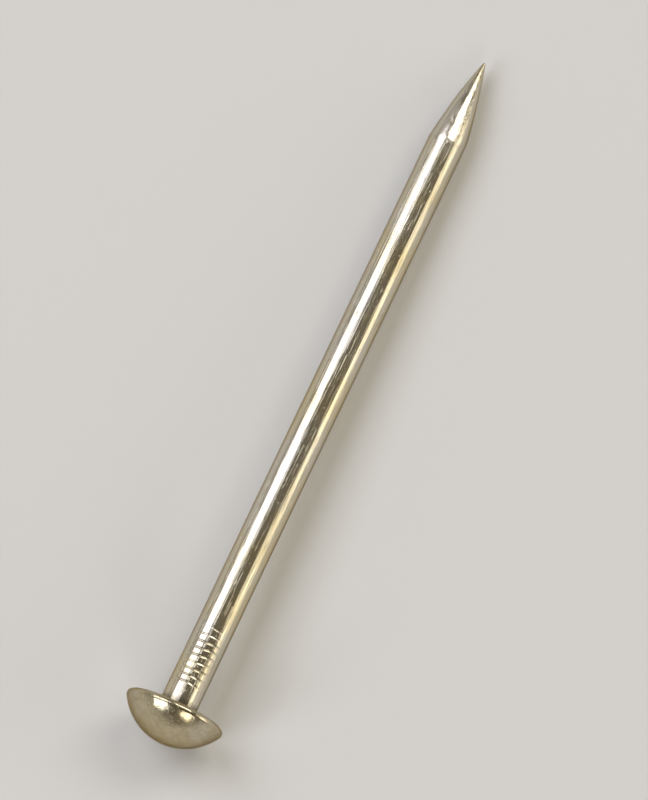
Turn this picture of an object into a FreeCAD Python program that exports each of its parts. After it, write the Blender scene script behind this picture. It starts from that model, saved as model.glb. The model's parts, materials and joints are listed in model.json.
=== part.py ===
import FreeCAD, Part
import math
import os

import Sketcher
from FreeCAD import Rotation, Vector

# A short straight pin: one length of hard drawn wire, its head formed from the same wire and its
# point ground. It lies as it would on a table, touching Z = 0 with the rolled edge of the head and
# with the shoulder where the ground part begins, so the tip stays clear. +X runs from the head to
# the point, and the origin is on the table under the middle of the pin. Millimetres.

document = FreeCAD.newDocument("StraightPin")

# Driving sizes

driving_sizes = [
    ("overall_length", 10.0, "crown of the head to the tip"),
    ("wire_diameter", 0.50, "shank, as drawn"),
    ("head_diameter", 1.35, "across the rolled edge"),
    ("head_height", 0.48, "crown to the flat bearing face"),
    ("edge_radius", 0.06, "rolled edge of the head"),
    ("neck_radius", 0.05, "fillet from the bearing face to the shank"),
    ("point_length", 1.15, "ground part of the wire, with the tip"),
    ("point_curve_radius", 8.5, "slight bulge of the ground part"),
    ("tip_radius", 0.02, "left by grinding"),
]

# Sizes that follow from them: the ball of the dome, which is tangent to the rolled edge, and how
# far the pin leans when the rolled edge and the shoulder both touch the table.

derived_sizes = [
    (
        "dome_radius",
        "((head_height - edge_radius)^2 + (head_diameter / 2 - edge_radius)^2 - edge_radius^2)"
        " / (2 * (head_height - 2 * edge_radius))",
        "ball of the dome",
    ),
    ("shoulder", "overall_length - point_length", "crown to the start of the ground part"),
    ("support_run", "shoulder - head_height + edge_radius", "centre of the edge roll to the shoulder"),
    ("support_rise", "(head_diameter - wire_diameter) / 2 - edge_radius", "the same, across the pin"),
    (
        "lean",
        "atan2(support_rise; support_run) + asin(edge_radius / sqrt(support_run^2 + support_rise^2))",
        "nose down, in degrees",
    ),
]

sizes = document.addObject("Spreadsheet::Sheet", "Sizes")
entries = [(alias, str(value), meaning) for alias, value, meaning in driving_sizes]
entries += [(alias, "=" + formula, meaning) for alias, formula, meaning in derived_sizes]
for row, (alias, content, meaning) in enumerate(entries, start=1):
    sizes.set(f"A{row}", meaning)
    sizes.set(f"B{row}", content)
    sizes.setAlias(f"B{row}", alias)
document.recompute()

# The pin is turned from half of its outline, drawn above the axis: crown at the sketch's origin,
# axis along X.

pin = document.addObject("PartDesign::Body", "Pin")
pin.Label = "straight_pin"

start, end, centre = 1, 2, 3
axis = -1
crown_point = (-1, 1)


def origin_plane(body, role):
    return next(plane for plane in body.Origin.OriginFeatures if plane.Role == role)


def arc(centre_x, centre_y, radius, from_deg, to_deg):
    circle = Part.Circle(Vector(centre_x, centre_y, 0), Vector(0, 0, 1), radius)
    return Part.ArcOfCircle(circle, math.radians(from_deg), math.radians(to_deg))


def line(from_x, from_y, to_x, to_y):
    return Part.LineSegment(Vector(from_x, from_y, 0), Vector(to_x, to_y, 0))


def drive(sketch, name, constraint, formula):
    index = sketch.addConstraint(constraint)
    sketch.renameConstraint(index, name)
    sketch.setExpression("Constraints." + name, formula)


def draw_outline(body):
    sketch = body.newObject("Sketcher::SketchObject", "HalfOutline")
    sketch.AttachmentSupport = (origin_plane(body, "XZ_Plane"), "")
    sketch.MapMode = "FlatFace"

    length = sizes.overall_length
    wire = sizes.wire_diameter / 2
    head = sizes.head_diameter / 2
    face = sizes.head_height
    roll = sizes.edge_radius
    fillet = sizes.neck_radius
    shoulder = float(sizes.shoulder)
    bulge = sizes.point_curve_radius
    point = sizes.tip_radius
    ball = float(sizes.dome_radius)

    # Where the dome's arc meets the edge roll, and the circle of the ground part: it passes through
    # the shoulder and touches the tip ball from outside the wire.
    spread = math.degrees(math.asin((head - roll) / (ball - roll)))
    taper = length - point - shoulder
    chord = math.hypot(taper, wire)
    reach = (bulge**2 - (bulge - point) ** 2 + chord**2) / (2 * chord)
    depth = math.sqrt(bulge**2 - reach**2)
    bulge_x = shoulder + (taper * reach - wire * depth) / chord
    bulge_y = wire - (wire * reach + taper * depth) / chord
    tip_deg = math.degrees(math.atan2(-bulge_y, length - point - bulge_x))
    shoulder_deg = math.degrees(math.atan2(wire - bulge_y, shoulder - bulge_x))

    dome = sketch.addGeometry(arc(ball, 0, ball, 180 - spread, 180))
    edge = sketch.addGeometry(arc(face - roll, head - roll, roll, 0, 180 - spread))
    bearing = sketch.addGeometry(line(face, head - roll, face, wire + fillet))
    neck = sketch.addGeometry(arc(face + fillet, wire + fillet, fillet, 180, 270))
    shank = sketch.addGeometry(line(face + fillet, wire, shoulder, wire))
    ground = sketch.addGeometry(arc(bulge_x, bulge_y, bulge, tip_deg, shoulder_deg))
    tip = sketch.addGeometry(arc(length - point, 0, point, 0, tip_deg))
    middle_line = sketch.addGeometry(line(length, 0, 0, 0))

    def along(name, geometry, vertex, value, formula):
        constraint = Sketcher.Constraint("DistanceX", *crown_point, geometry, vertex, value)
        drive(sketch, name, constraint, formula)

    def radius(name, geometry, value, formula):
        drive(sketch, name, Sketcher.Constraint("Radius", geometry, value), formula)

    along("length", tip, start, length, "Sizes.overall_length")
    along("headHeight", bearing, start, face, "Sizes.head_height")
    along("shoulder", shank, end, shoulder, "Sizes.shoulder")
    drive(
        sketch,
        "wireRadius",
        Sketcher.Constraint("DistanceY", *crown_point, shank, end, wire),
        "Sizes.wire_diameter / 2",
    )
    drive(
        sketch,
        "edgeCentre",
        Sketcher.Constraint("DistanceY", *crown_point, edge, centre, head - roll),
        "Sizes.head_diameter / 2 - Sizes.edge_radius",
    )
    radius("edgeRadius", edge, roll, "Sizes.edge_radius")
    radius("neckRadius", neck, fillet, "Sizes.neck_radius")
    radius("pointCurve", ground, bulge, "Sizes.point_curve_radius")
    radius("tipRadius", tip, point, "Sizes.tip_radius")

    sketch.addConstraint(
        [
            Sketcher.Constraint("Coincident", dome, end, *crown_point),
            Sketcher.Constraint("PointOnObject", dome, centre, axis),
            Sketcher.Constraint("Tangent", edge, end, dome, start),
            Sketcher.Constraint("Tangent", edge, start, bearing, start),
            Sketcher.Constraint("Vertical", bearing),
            Sketcher.Constraint("Tangent", bearing, end, neck, start),
            Sketcher.Constraint("Tangent", neck, end, shank, start),
            Sketcher.Constraint("Horizontal", shank),
            Sketcher.Constraint("Coincident", shank, end, ground, end),
            Sketcher.Constraint("Tangent", ground, start, tip, end),
            Sketcher.Constraint("PointOnObject", tip, centre, axis),
            Sketcher.Constraint("Coincident", tip, start, middle_line, start),
            Sketcher.Constraint("Coincident", middle_line, end, *crown_point),
            Sketcher.Constraint("Horizontal", middle_line),
        ]
    )
    return sketch


outline = draw_outline(pin)

turned = pin.newObject("PartDesign::Revolution", "Turned")
turned.Profile = outline
turned.ReferenceAxis = (outline, ["H_Axis"])
turned.Angle = 360
outline.Visibility = False

# Laid down: nose down by the lean, then moved so that the shoulder touches the table and the pin
# reaches as far to each side of the origin, to the ball of the dome and to the tip ball.

pin.Placement.Rotation = Rotation(Vector(0, 1, 0), float(sizes.lean.Value))
pin.setExpression("Placement.Rotation.Angle", "Sizes.lean")
pin.setExpression(
    "Placement.Base.x",
    "(Sizes.dome_radius - Sizes.tip_radius"
    " - (Sizes.dome_radius + Sizes.overall_length - Sizes.tip_radius) * cos(Sizes.lean)) / 2",
)
pin.setExpression(
    "Placement.Base.z",
    "Sizes.shoulder * sin(Sizes.lean) + Sizes.wire_diameter / 2 * cos(Sizes.lean)",
)

document.recompute()

for item in document.Objects:
    if "Invalid" in item.State or "Error" in item.State:
        raise RuntimeError(f"{item.Name} did not build: {item.State}")
if not outline.FullyConstrained:
    raise RuntimeError("the outline can still move")
if pin.Shape.isNull() or not pin.Shape.isValid() or len(pin.Shape.Solids) != 1:
    raise RuntimeError("the pin is not one valid solid")

os.makedirs("parts", exist_ok=True)
pin.Shape.exportStep(f"parts/{pin.Label}.step")
print(f"{pin.Label}: {pin.Shape.Volume:.4f} mm3, leaning {sizes.lean.Value:.3f} degrees")
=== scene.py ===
import json
import math

import bmesh
import bpy
from mathutils import Matrix, Vector, noise


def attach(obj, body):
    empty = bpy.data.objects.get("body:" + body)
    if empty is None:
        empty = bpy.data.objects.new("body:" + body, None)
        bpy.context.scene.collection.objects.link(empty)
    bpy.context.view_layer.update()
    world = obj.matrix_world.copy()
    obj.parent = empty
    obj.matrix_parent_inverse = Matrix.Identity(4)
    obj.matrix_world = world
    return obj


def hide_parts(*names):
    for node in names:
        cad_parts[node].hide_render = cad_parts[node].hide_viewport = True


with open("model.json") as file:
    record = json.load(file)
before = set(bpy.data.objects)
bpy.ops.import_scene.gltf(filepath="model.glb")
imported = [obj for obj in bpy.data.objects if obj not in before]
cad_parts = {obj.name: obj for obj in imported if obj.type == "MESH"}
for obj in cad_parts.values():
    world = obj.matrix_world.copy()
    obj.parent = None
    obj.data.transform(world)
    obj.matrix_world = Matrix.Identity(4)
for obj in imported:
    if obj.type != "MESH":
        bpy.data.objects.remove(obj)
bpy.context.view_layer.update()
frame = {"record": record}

millimetre = 0.001

# A short straight pin, bright nickel plate over hard drawn wire, lying on a pale table

# Shader maths

class Signal:  # a number on its way through the nodes, so that shader maths reads as maths
    def __init__(self, maker, socket):
        self.maker = maker
        self.socket = socket

    def combine(self, operation, first, second):
        return self.maker.add("ShaderNodeMath", {"operation": operation}, {0: first, 1: second})

    def __add__(self, other):
        return self.combine("ADD", self, other)

    def __radd__(self, other):
        return self.combine("ADD", other, self)

    def __sub__(self, other):
        return self.combine("SUBTRACT", self, other)

    def __rsub__(self, other):
        return self.combine("SUBTRACT", other, self)

    def __mul__(self, other):
        return self.combine("MULTIPLY", self, other)

    def __rmul__(self, other):
        return self.combine("MULTIPLY", other, self)

    def __truediv__(self, other):
        return self.combine("DIVIDE", self, other)

    def __rtruediv__(self, other):
        return self.combine("DIVIDE", other, self)

    def __pow__(self, other):
        return self.combine("POWER", self, other)

    def __rpow__(self, other):
        return self.combine("POWER", other, self)

    def step(self, low, high):  # 0 below low, 1 above high, smooth between
        return self.maker.add(
            "ShaderNodeMapRange",
            {"interpolation_type": "SMOOTHSTEP"},
            {"Value": self, "From Min": low, "From Max": high},
        )

    def band(self, low, high, softness):  # 1 between low and high
        return self.step(low - softness, low + softness) * (1 - self.step(high - softness, high + softness))


class NodeMaker:
    def __init__(self, tree):
        self.tree = tree
        tree.nodes.clear()

    def add(self, kind, settings=None, sockets=None, output=0):
        node = self.tree.nodes.new(kind)
        for name, value in (settings or {}).items():
            setattr(node, name, value)
        for name, value in (sockets or {}).items():
            if isinstance(value, Signal):
                self.tree.links.new(value.socket, node.inputs[name])
            else:
                node.inputs[name].default_value = value
        return Signal(self, node.outputs[output]) if node.outputs else None

    def split(self, vector):
        parts = self.add("ShaderNodeSeparateXYZ", sockets={0: vector}).socket.node
        return [Signal(self, part) for part in parts.outputs]

    def blend(self, factor, first, second):  # colours
        return self.add("ShaderNodeMix", {"data_type": "RGBA"}, {0: factor, 6: first, 7: second}, output=2)

    def placed(self, vector, shift=(0, 0, 0), turn=(0, 0, 0), scale=(1, 1, 1)):
        sockets = {"Vector": vector, "Location": shift, "Rotation": turn, "Scale": scale}
        return self.add("ShaderNodeMapping", {"vector_type": "POINT"}, sockets)

    def noise(self, vector, scale, detail, roughness):
        sockets = {"Vector": vector, "Scale": scale, "Detail": detail, "Roughness": roughness}
        return self.add("ShaderNodeTexNoise", {"noise_dimensions": "3D"}, sockets)


# The pin is drawn in its own frame, crown at the origin and axis along X, in millimetres, and then
# laid where the record's mounts say that its axis runs.

pinValues = {
    "overallLength": 10.0,
    "wireRadius": 0.25,
    "headRadius": 0.675,
    "headHeight": 0.48,
    "edgeRadius": 0.06,  # rolled edge of the head
    "neckRadius": 0.05,
    "pointLength": 1.15,
    "pointCurveRadius": 8.5,  # slight bulge of the ground part
    "tipRadius": 0.02,
    "steps": {  # how finely each stretch of the outline is divided
        "around": 112,
        "dome": 30,
        "edgeRoll": 14,
        "bearingFace": 8,
        "neck": 8,
        "underGrip": 6,
        "perTooth": 14,
        "plainSpacing": 0.024,
        "beforeShoulder": 10,
        "point": 90,
        "tip": 8,
    },
    "grip": {  # the heading dies' marks on the wire, under the head
        "start": 0.72,
        "end": 1.70,
        "pitch": 0.098,
        "depth": 0.0075,
        "sharpness": 4,  # narrow grooves between broad lands
        "wander": 0.25,  # share of the pitch
        "wanderWaves": (3.0, 5.0, 5.0),  # per millimetre
        "pressure": 0.85,  # no two teeth press alike
        "pressureChange": 0.6,
        "pressureWaves": (1.7, 3.0, 3.0),  # per tooth, and per millimetre across and up
        "sides": (0.25, 0.8),  # they grow from one share of the wire's radius to the other
        "fadeIn": 0.1,
        "fadeOut": 0.25,
    },
    "shoulder": {  # the ground part doesn't start square to the wire
        "waviness": 0.035,
        "waves": ((1, 1.0, 0.7), (3, 0.5, 1.9), (7, 0.25, 0.0)),  # number around the wire, share, turn
        "near": 0.1,  # full this far before and past the shoulder
        "gone": 0.7,  # gone this far into the ground part
    },
    "unevenness": {  # the struck head isn't quite true, and the drawn wire hardly wavers
        "head": 0.0045,
        "struckShare": 0.45,  # how strong the finer bumps are
        "shank": 0.0010,
        "beatenShare": 0.7,
        "headEnd": -0.02,  # both from the bearing face
        "shankStart": 0.1,
        "bumps": {  # waves per millimetre, and where in the noise they are read
            "broad": ((2.3, 2.3, 2.3), (3.1, 0.4, 7.7)),
            "struck": ((6.5, 6.5, 6.5), (0.6, 5.2, 1.3)),
            "drawn": ((0.9, 9.0, 9.0), (0.0, 0.4, 0.7)),
            "beaten": ((5.0, 5.0, 5.0), (0.2, 0.7, 0.4)),
        },
    },
}


def pinToRow(sizes, record):
    shank = next(mount for mount in record["mounts"] if mount["name"] == "shank")
    along = Vector(shank["axis"]).normalized()
    shoulder = sizes["overallLength"] - sizes["pointLength"]
    shankMiddle = (sizes["headHeight"] + sizes["neckRadius"] + shoulder) / 2
    crown = Vector(shank["pos_m"]) - along * shankMiddle * millimetre
    lean = math.asin(-along.z)
    return Matrix.Translation(crown) @ Matrix.Rotation(lean, 4, "Y") @ Matrix.Scale(millimetre, 4)


toRow = pinToRow(pinValues, frame["record"])


# Half of the outline, drawn vertex by vertex

def turnVertex(mesh, vertex, centre, degrees, steps):
    spun = bmesh.ops.spin(
        mesh, geom=[vertex], cent=centre, axis=(0, 1, 0), angle=math.radians(degrees), steps=steps
    )
    return next(part for part in spun["geom_last"] if isinstance(part, bmesh.types.BMVert))


def pullVertex(mesh, vertex, target, steps):
    stride = (Vector(target) - vertex.co) / steps
    for _ in range(steps):
        pulled = bmesh.ops.extrude_vert_indiv(mesh, verts=[vertex])["verts"]
        bmesh.ops.translate(mesh, verts=pulled, vec=stride)
        vertex = pulled[0]
    return vertex


def drawHalfOutline(mesh, sizes):  # returns the centre of the ground part's circle too
    wire, head, face = sizes["wireRadius"], sizes["headRadius"], sizes["headHeight"]
    edge, neck, tip = sizes["edgeRadius"], sizes["neckRadius"], sizes["tipRadius"]
    length, bulge = sizes["overallLength"], sizes["pointCurveRadius"]
    steps, grip = sizes["steps"], sizes["grip"]
    shoulder = length - sizes["pointLength"]

    # the dome's ball is tangent to the edge roll
    ball = ((face - edge) ** 2 + (head - edge) ** 2 - edge**2) / (2 * (face - 2 * edge))
    spread = math.degrees(math.asin((head - edge) / (ball - edge)))

    # the ground part's circle passes through the shoulder and touches the tip ball
    taper = length - tip - shoulder
    chord = math.hypot(taper, wire)
    reach = (bulge**2 - (bulge - tip) ** 2 + chord**2) / (2 * chord)
    depth = math.sqrt(bulge**2 - reach**2)
    bulgeX = shoulder + (taper * reach - wire * depth) / chord
    bulgeZ = wire - (wire * reach + taper * depth) / chord
    tipDegrees = math.degrees(math.atan2(-bulgeZ, length - tip - bulgeX))
    shoulderDegrees = math.degrees(math.atan2(wire - bulgeZ, shoulder - bulgeX))

    gripSteps = round((grip["end"] - grip["start"]) / grip["pitch"] * steps["perTooth"])
    plainEnd = shoulder - sizes["shoulder"]["near"]
    plainSteps = round((plainEnd - grip["end"]) / steps["plainSpacing"])

    vertex = bmesh.ops.create_vert(mesh, co=(0, 0, 0))["vert"][0]
    vertex = turnVertex(mesh, vertex, (ball, 0, 0), spread, steps["dome"])
    vertex = turnVertex(mesh, vertex, (face - edge, 0, head - edge), 180 - spread, steps["edgeRoll"])
    vertex = pullVertex(mesh, vertex, (face, 0, wire + neck), steps["bearingFace"])
    vertex = turnVertex(mesh, vertex, (face + neck, 0, wire + neck), -90, steps["neck"])
    vertex = pullVertex(mesh, vertex, (grip["start"], 0, wire), steps["underGrip"])
    vertex = pullVertex(mesh, vertex, (grip["end"], 0, wire), gripSteps)
    vertex = pullVertex(mesh, vertex, (plainEnd, 0, wire), plainSteps)
    vertex = pullVertex(mesh, vertex, (shoulder, 0, wire), steps["beforeShoulder"])
    vertex = turnVertex(mesh, vertex, (bulgeX, 0, bulgeZ), shoulderDegrees - tipDegrees, steps["point"])
    turnVertex(mesh, vertex, (length - tip, 0, 0), tipDegrees, steps["tip"])
    return bulgeX, bulgeZ


# What the tools left on it

def smoothStep(value, low, high):
    share = min(1.0, max(0.0, (value - low) / (high - low)))
    return share * share * (3 - 2 * share)


def grindPoint(mesh, sizes, bulgeX, bulgeZ):  # the shoulder wavers a little around the wire
    ground = sizes["shoulder"]
    shoulder = sizes["overallLength"] - sizes["pointLength"]
    near, gone = ground["near"], shoulder + ground["gone"]
    for vertex in mesh.verts:
        along, across, up = vertex.co
        if not shoulder - near < along < gone:
            continue
        angle = math.atan2(up, across)
        waver = sum(share * math.sin(count * angle + turn) for count, share, turn in ground["waves"])
        shift = ground["waviness"] * waver * (1 - smoothStep(along, shoulder + near, gone))
        radius = bulgeZ + math.sqrt(sizes["pointCurveRadius"] ** 2 - (along + shift - bulgeX) ** 2)
        shrink = min(sizes["wireRadius"], radius) / math.hypot(across, up)
        vertex.co = Vector((along, across * shrink, up * shrink))


def roughen(mesh, sizes):
    amounts = sizes["unevenness"]
    headEnd = sizes["headHeight"] + amounts["headEnd"]
    shankStart = sizes["headHeight"] + amounts["shankStart"]
    mesh.normal_update()
    moves = []
    for vertex in mesh.verts:
        bump = {}
        for name, (waves, shift) in amounts["bumps"].items():
            bump[name] = noise.noise(vertex.co * Vector(waves) + Vector(shift))
        onHead = 1 - smoothStep(vertex.co.x, headEnd, shankStart)
        headMove = amounts["head"] * (bump["broad"] + amounts["struckShare"] * bump["struck"])
        shankMove = amounts["shank"] * (bump["drawn"] + amounts["beatenShare"] * bump["beaten"])
        moves.append(vertex.normal * (headMove * onHead + shankMove * (1 - onHead)))
    for vertex, move in zip(mesh.verts, moves):
        vertex.co += move


def pressGrip(mesh, sizes):  # shallow marks of the heading dies' teeth, on two sides of the wire
    grip = sizes["grip"]
    for vertex in mesh.verts:
        along, across, up = vertex.co
        if not grip["start"] < along < grip["end"]:
            continue
        wander = grip["wander"] * noise.noise(vertex.co * Vector(grip["wanderWaves"]))
        tooth = (along - grip["start"]) / grip["pitch"] + wander
        groove = max(0.0, math.cos(2 * math.pi * tooth)) ** grip["sharpness"]
        toothPlace = Vector((math.floor(tooth + 0.5), across, up))
        change = noise.noise(toothPlace * Vector(grip["pressureWaves"]))
        pressure = grip["pressure"] + grip["pressureChange"] * change
        side = smoothStep(abs(up) / sizes["wireRadius"], *grip["sides"])
        fade = smoothStep(along, grip["start"], grip["start"] + grip["fadeIn"])
        fade *= 1 - smoothStep(along, grip["end"] - grip["fadeOut"], grip["end"])
        shrink = 1 - grip["depth"] * groove * pressure * side * fade / sizes["wireRadius"]
        vertex.co = Vector((along, across * shrink, up * shrink))


def makePin(sizes):
    mesh = bmesh.new()
    bulgeX, bulgeZ = drawHalfOutline(mesh, sizes)
    bmesh.ops.spin(
        mesh,
        geom=mesh.verts[:] + mesh.edges[:],
        cent=(0, 0, 0),
        axis=(1, 0, 0),
        angle=2 * math.pi,
        steps=sizes["steps"]["around"],
        use_merge=True,
    )
    bmesh.ops.remove_doubles(mesh, verts=mesh.verts, dist=sizes["tipRadius"] / 1000)  # crown and tip
    bmesh.ops.recalc_face_normals(mesh, faces=mesh.faces)
    grindPoint(mesh, sizes, bulgeX, bulgeZ)
    roughen(mesh, sizes)
    pressGrip(mesh, sizes)
    bmesh.ops.transform(mesh, matrix=toRow, verts=mesh.verts)
    data = bpy.data.meshes.new("pin")
    mesh.to_mesh(data)
    mesh.free()
    data.polygons.foreach_set("use_smooth", [True] * len(data.polygons))
    piece = bpy.data.objects.new("pin", data)
    bpy.context.scene.collection.objects.link(piece)
    print("pin:", len(data.polygons), "faces")
    return piece


# Bright nickel plate with a warm tint

plateValues = {
    "coolTint": (0.650, 0.610, 0.535, 1.0),
    "warmTint": (0.660, 0.575, 0.385, 1.0),
    # dark colour: painted shade in the corner under the head, and grime in specks and scratches
    "grimeAndPaintedShade": (0.075, 0.055, 0.028, 1.0),
    # brown colour: tarnish, and over the whole head also painted dark reflection of the surroundings
    "tarnishAndPaintedReflection": (0.33, 0.27, 0.155, 1.0),
    "edgeTint": (0.50, 0.42, 0.28, 1.0),  # towards the outline, where plate reflects browner
    "neckPaintedShade": 0.55,  # shares of the full dark colour: painted shade in the corner under the head, grime in specks and scratches
    "speckGrime": 0.30,
    "scratchGrime": 0.16,
    "headTarnishAndPaintedReflection": 0.14,  # shares of the full brown colour: over the whole head partly tarnish, partly painted dark reflection
    "struckTarnish": 0.26,
    "patchyTarnish": 0.20,
    "groundTarnish": 0.12,
    "shankRoughness": 0.15,
    "headRoughness": 0.17,
    "groundRoughness": 0.22,
    "drawnVariation": 0.14,  # how far each grain changes the roughness
    "grindingVariation": 0.18,
    "struckVariation": 0.10,
    "speckRoughness": 0.15,
    "scratchRoughness": 0.12,
    "drawingLines": 0.0040,  # heights in millimetres
    "fineDrawingLines": 0.0016,
    "grindingLines": 0.0030,
    "struckGrain": 0.0030,
    "speckDepth": 0.0014,
    "scratchDepth": 0.0024,
    "struckOnWire": 0.3,  # how much of the struck grain the wire has too
    "warmPatches": 0.70,  # shares of the warm tint
    "warmLines": 0.30,
    "ground": {  # where the ground part begins
        "slope": 0.16,  # about its own, so that the mask follows its wavering start
        "edge": (-0.012, -0.003),  # from the wire's radius
        "start": (-0.12, -0.08),  # from the shoulder
    },
    "headEnd": (-0.01, 0.02),  # from the bearing face
    "neck": {  # the corner under the head, darkened there as painted shade
        "reach": (-0.01, 0.12, 0.04),  # from and to, past the bearing face, and softness
        "spread": (0.01, 0.18),  # out from the wire
    },
    "masks": {  # the noise at which each begins, and at which it is full
        "warmPatches": (0.36, 0.66),
        "warmLines": (0.3, 0.7),
        "struckDull": (0.35, 0.7),
        "patchyDull": (0.4, 0.6),
        "specks": (0.66, 0.75),
        "steepScratches": (0.70, 0.78),
        "slightScratches": (0.68, 0.78),
    },
    "grainShift": (3.7, 8.3, 5.6),  # keeps the crown off the middle of the noise, where it has a crease
    "grains": {  # turn, stretch, scale, detail, roughness: stretch by scale gives waves per millimetre
        "drawn": ((0, 0, 0), (0.30, 30.0, 30.0), 1.0, 3.0, 0.6),
        "fineDrawn": ((0, 0, 0), (0.9, 90.0, 90.0), 1.0, 2.0, 0.6),
        "grinding": ((0, 0.5, 0.35), (7.0, 60.0, 60.0), 1.0, 3.0, 0.6),
        "struck": ((0, 0, 0), (1, 1, 1), 12.0, 4.0, 0.6),
        "patches": ((0, 0, 0), (1, 1, 1), 1.1, 3.0, 0.55),
        "specks": ((0, 0, 0), (1, 1, 1), 24.0, 3.0, 0.6),
        "steepScratches": ((0, 0.35, 0.5), (2.2, 75.0, 75.0), 1.0, 1.0, 0.5),
        "slightScratches": ((0, -0.12, -0.2), (1.4, 65.0, 65.0), 1.0, 1.0, 0.5),
    },
}


def makeNickelPlate(values, sizes):
    material = bpy.data.materials.new("nickelPlate")
    material.use_nodes = True
    maker = NodeMaker(material.node_tree)

    # object coordinates brought into the pin's own frame, in millimetres
    fromRow = toRow.inverted()
    coordinates = maker.add("ShaderNodeTexCoord", output=3)
    place = maker.placed(coordinates, fromRow.translation, fromRow.to_euler(), fromRow.to_scale())
    along, across, up = maker.split(place)
    radius = (across * across + up * up) ** 0.5

    # struck head, drawn wire and ground point, measured from the shoulder, the wire and the face
    fromShoulder = along - (sizes["overallLength"] - sizes["pointLength"])
    fromWire = radius - sizes["wireRadius"]
    fromFace = along - sizes["headHeight"]
    groundValues, neckValues, masks = values["ground"], values["neck"], values["masks"]
    ground = 1 - (fromWire + fromShoulder * groundValues["slope"]).step(*groundValues["edge"])
    ground = ground * fromShoulder.step(*groundValues["start"])
    head = 1 - fromFace.step(*values["headEnd"])
    onWire = (1 - head) * (1 - ground)

    # drawing lines run the length of the wire, grinding lines wind around the point
    grain = {}
    for name, (turn, stretch, *settings) in values["grains"].items():
        grain[name] = maker.noise(maker.placed(place, values["grainShift"], turn, stretch), *settings)
    drawn, struck, patches = grain["drawn"], grain["struck"], grain["patches"]
    drawnSwing, fineSwing = drawn - 0.5, grain["fineDrawn"] - 0.5
    grindingSwing, struckSwing = grain["grinding"] - 0.5, struck - 0.5
    specks = grain["specks"].step(*masks["specks"])
    steepScratches = grain["steepScratches"].step(*masks["steepScratches"])
    slightScratches = grain["slightScratches"].step(*masks["slightScratches"])
    scratches = steepScratches + slightScratches

    warmPatches = patches.step(*masks["warmPatches"]) * values["warmPatches"]
    tint = warmPatches + drawn.step(*masks["warmLines"]) * values["warmLines"]
    colour = maker.blend(tint, values["coolTint"], values["warmTint"])
    struckDull = struck.step(*masks["struckDull"]) * values["struckTarnish"]
    patchyDull = patches.step(*masks["patchyDull"]) * values["patchyTarnish"]
    # head browner all over, partly tarnish and partly painted dark reflection, with random tarnish patches;
    # the ground part tarnished
    browned = head * (values["headTarnishAndPaintedReflection"] + struckDull + patchyDull) + ground * values["groundTarnish"]
    colour = maker.blend(browned, colour, values["tarnishAndPaintedReflection"])
    # painted shade in the corner under the head, and grime in specks and scratches
    neck = fromFace.band(*neckValues["reach"]) * (1 - fromWire.step(*neckValues["spread"]))
    grimeAndPaintedShade = neck * values["neckPaintedShade"] + specks * values["speckGrime"] + scratches * values["scratchGrime"]
    colour = maker.blend(grimeAndPaintedShade, colour, values["grimeAndPaintedShade"])

    roughness = values["shankRoughness"] * onWire + values["headRoughness"] * head
    roughness = roughness + values["groundRoughness"] * ground
    roughness = roughness + drawnSwing * values["drawnVariation"] * onWire
    roughness = roughness + grindingSwing * values["grindingVariation"] * ground
    roughness = roughness + struckSwing * values["struckVariation"]
    roughness = roughness + specks * values["speckRoughness"] + scratches * values["scratchRoughness"]

    height = (drawnSwing * values["drawingLines"] + fineSwing * values["fineDrawingLines"]) * onWire
    height = height + grindingSwing * values["grindingLines"] * ground
    height = height + struckSwing * values["struckGrain"] * (head + values["struckOnWire"])
    height = height - specks * values["speckDepth"] - scratches * values["scratchDepth"]
    sockets = {"Strength": 1.0, "Distance": millimetre, "Height": height}
    bump = maker.add("ShaderNodeBump", sockets=sockets)

    surface = maker.add(
        "ShaderNodeBsdfPrincipled",
        sockets={
            "Base Color": colour,
            "Metallic": 1.0,
            "Roughness": roughness,
            "Specular Tint": values["edgeTint"],
            "Normal": bump,
        },
    )
    maker.add("ShaderNodeOutputMaterial", sockets={"Surface": surface})
    print("nickel plate:", len(material.node_tree.nodes), "nodes")
    return material


# Table, light and camera

tableValues = {
    "width": 3.0,  # metres
    "colour": (0.70, 0.69, 0.67, 1.0),
    "roughness": 0.9,
}

roomValues = {  # what the metal mirrors between the lamps
    "overhead": (0.155, 0.136, 0.102, 1.0),
    "allAround": (0.60, 0.585, 0.555, 1.0),
    "darkSideReach": 0.34,  # how high the pale surroundings reach, as a share of overhead
    "paleSideReach": 0.75,
    "sideChange": (-0.2, 0.4),  # from the dark side to the pale one, across the pin
}

softboxes = {  # each faces the pin: direction, distance, width, height, radiance, colour
    "coolBox": ((0.19, 0.53, 0.80), 0.40, 0.27, 0.28, 3.0, (0.88, 0.90, 1.0)),
    "creamBox": ((0.21, -0.92, 0.31), 0.40, 0.30, 0.15, 1.9, (1.0, 0.93, 0.74)),
    "pointBox": ((0.59, -0.30, 0.75), 0.40, 0.16, 0.26, 3.8, (1.0, 0.98, 0.90)),
    "headCoolBox": ((-0.66, 0.46, 0.60), 0.40, 0.15, 0.17, 4.8, (0.86, 0.90, 1.0)),
    "headCreamBox": ((-0.70, -0.42, 0.50), 0.40, 0.13, 0.14, 3.6, (1.0, 0.95, 0.84)),
}

cameraValues = {
    "fromVertical": 8.0,  # degrees off straight down, turned about the pin
    "towardHead": 9.0,  # degrees round towards the head
    "imageLean": 25.5,  # degrees that the pin leans right of upright in the picture
    "lens": 400.0,
    "sensor": 36.0,
    "frameHeight": 0.0104,  # what the picture is high, at the pin
    "clipStart": 0.02,  # share of the distance
    "clipEnd": 20.0,
}


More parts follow.
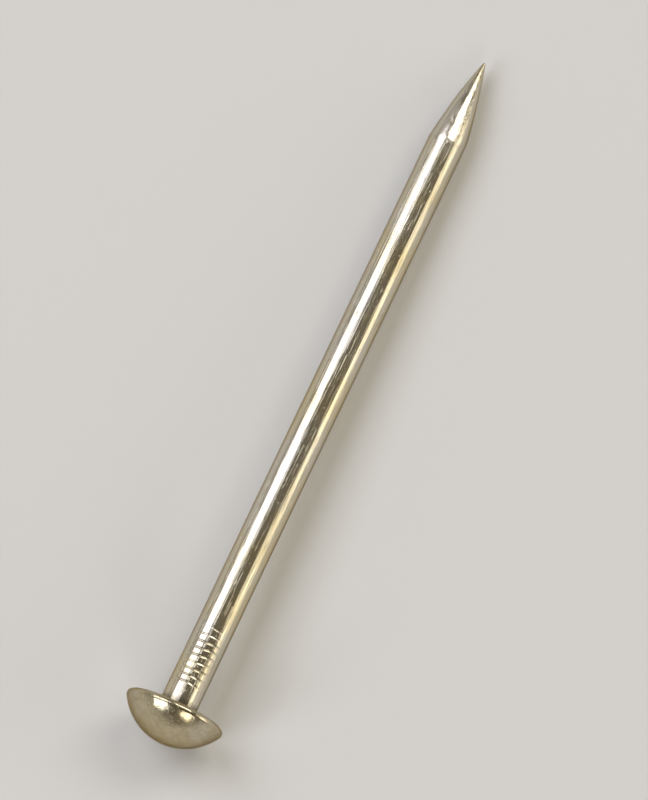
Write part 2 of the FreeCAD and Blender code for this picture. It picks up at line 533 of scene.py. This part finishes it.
def makeTable(values):
    mesh = bmesh.new()
    bmesh.ops.create_grid(mesh, x_segments=1, y_segments=1, size=values["width"] / 2)
    data = bpy.data.meshes.new("table")
    mesh.to_mesh(data)
    mesh.free()
    table = bpy.data.objects.new("table", data)
    bpy.context.scene.collection.objects.link(table)
    material = bpy.data.materials.new("tablePaper")
    material.use_nodes = True
    maker = NodeMaker(material.node_tree)
    sockets = {"Base Color": values["colour"], "Roughness": values["roughness"]}
    surface = maker.add("ShaderNodeBsdfPrincipled", sockets=sockets)
    maker.add("ShaderNodeOutputMaterial", sockets={"Surface": surface})
    data.materials.append(material)
    print("table:", values["width"], "m wide")


def makeRoom(values):
    world = bpy.data.worlds.new("room")
    world.use_nodes = True
    bpy.context.scene.world = world
    maker = NodeMaker(world.node_tree)
    _, side, height = maker.split(maker.add("ShaderNodeTexCoord", output=0))
    extraReach = values["paleSideReach"] - values["darkSideReach"]
    reach = values["darkSideReach"] + extraReach * side.step(*values["sideChange"])
    colour = maker.blend((height / reach).step(0.0, 1.0), values["allAround"], values["overhead"])
    background = maker.add("ShaderNodeBackground", sockets={"Color": colour, "Strength": 1.0})
    maker.add("ShaderNodeOutputWorld", sockets={"Surface": background})
    print("room:", len(world.node_tree.nodes), "nodes")


def makeSoftbox(name, direction, distance, width, height, radiance, colour):
    data = bpy.data.lights.new(name, "AREA")
    data.shape = "RECTANGLE"
    data.size, data.size_y = width, height
    data.energy = radiance * math.pi * width * height
    data.color = colour
    toward = Vector(direction).normalized()
    across = toward.cross(Vector((1, 0, 0))).normalized()
    turn = Matrix((across.cross(toward), across, toward)).transposed().to_4x4()
    lamp = bpy.data.objects.new(name, data)
    lamp.matrix_world = Matrix.Translation(toward * distance) @ turn
    bpy.context.scene.collection.objects.link(lamp)
    print(f"{name}: {data.energy:.2f} W")


def makeCamera(values, sizes):
    data = bpy.data.cameras.new("camera")
    data.lens, data.sensor_width = values["lens"], values["sensor"]
    distance = values["frameHeight"] * data.lens / data.sensor_width
    data.clip_start, data.clip_end = distance * values["clipStart"], values["clipEnd"]
    tilt, swing = math.radians(values["fromVertical"]), math.radians(values["towardHead"])
    level = math.cos(swing)
    back = Vector((-math.sin(swing), -math.sin(tilt) * level, math.cos(tilt) * level))
    alongPin = toRow.to_3x3() @ Vector((1, 0, 0))
    pinInPicture = (alongPin - back * alongPin.dot(back)).normalized()
    pictureUp = Matrix.Rotation(math.radians(values["imageLean"]), 3, back) @ pinInPicture
    turn = Matrix((pictureUp.cross(back), pictureUp, back)).transposed().to_4x4()
    middle = toRow @ Vector((sizes["overallLength"] / 2, 0, 0))
    camera = bpy.data.objects.new("camera", data)
    camera.matrix_world = Matrix.Translation(middle + back * distance) @ turn
    bpy.context.scene.collection.objects.link(camera)
    bpy.context.scene.camera = camera
    print(f"camera: {distance * 1000:.1f} mm away")


nickelPlate = makeNickelPlate(plateValues, pinValues)
pin = makePin(pinValues)
pin.data.materials.append(nickelPlate)
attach(pin, "root")
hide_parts("straight_pin")

makeTable(tableValues)
makeRoom(roomValues)
for name, box in softboxes.items():
    makeSoftbox(name, *box)
makeCamera(cameraValues, pinValues)
bpy.context.scene.view_settings.view_transform = "Standard"
